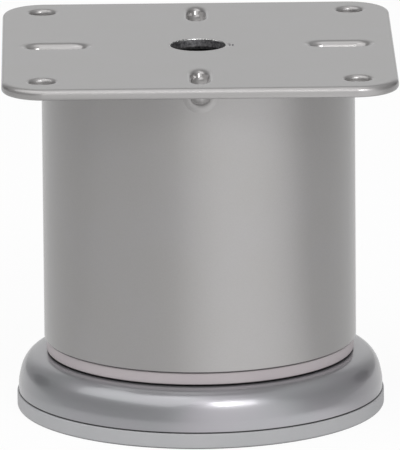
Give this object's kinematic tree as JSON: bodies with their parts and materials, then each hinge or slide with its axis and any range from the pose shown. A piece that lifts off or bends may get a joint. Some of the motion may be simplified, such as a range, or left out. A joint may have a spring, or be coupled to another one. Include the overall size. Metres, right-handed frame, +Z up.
{
  "type": "metal furniture leg",
  "caption": "Round tubular steel furniture leg with a square screw plate, pressed locating beads and a screw-adjusted round foot.",
  "frame": {"origin": "on the floor, at the centre of the foot, on the tube's axis", "axes": "+Z up along the tube towards the furniture, +X and +Y square to the plate's edges"},
  "size_m": [0.1, 0.1, 0.0942],
  "materials": {
    "coated_steel": "satin silver powder coat",
    "weld_steel": "as welded",
    "insert_plastic": "fine matte moulded",
    "zinc_steel": "bright zinc plate",
    "spring_steel": "phosphated",
    "base_plastic": "fine matte moulded",
    "shell_lacquer": "glossy silver lacquer"
  },
  "bodies": {
    "leg": {"top_plate": "coated_steel", "leg_tube": "coated_steel", "weld_beads": "weld_steel", "tube_insert": "insert_plastic", "spindle_nut": "zinc_steel"},
    "foot": {"foot_base": "base_plastic", "foot_shell": "shell_lacquer", "thrust_washer": "zinc_steel"},
    "spindle": {"spindle": "zinc_steel", "retaining_clip": "spring_steel"}
  },
  "joints": [
    {"name": "foot_extend", "type": "slide", "parent": "leg", "child": "foot", "axis": [0, 0, -1], "range_m": [0, 0.015]},
    {"name": "spindle_turn", "type": "hinge", "parent": "foot", "child": "spindle", "pos_m": [0, 0, 0], "axis": [0, 0, -1], "range_deg": [0, 3600]}
  ],
  "couplings": [
    {"joint": "spindle_turn", "follows": "foot_extend", "rad_per_m": 4188.8}
  ]
}
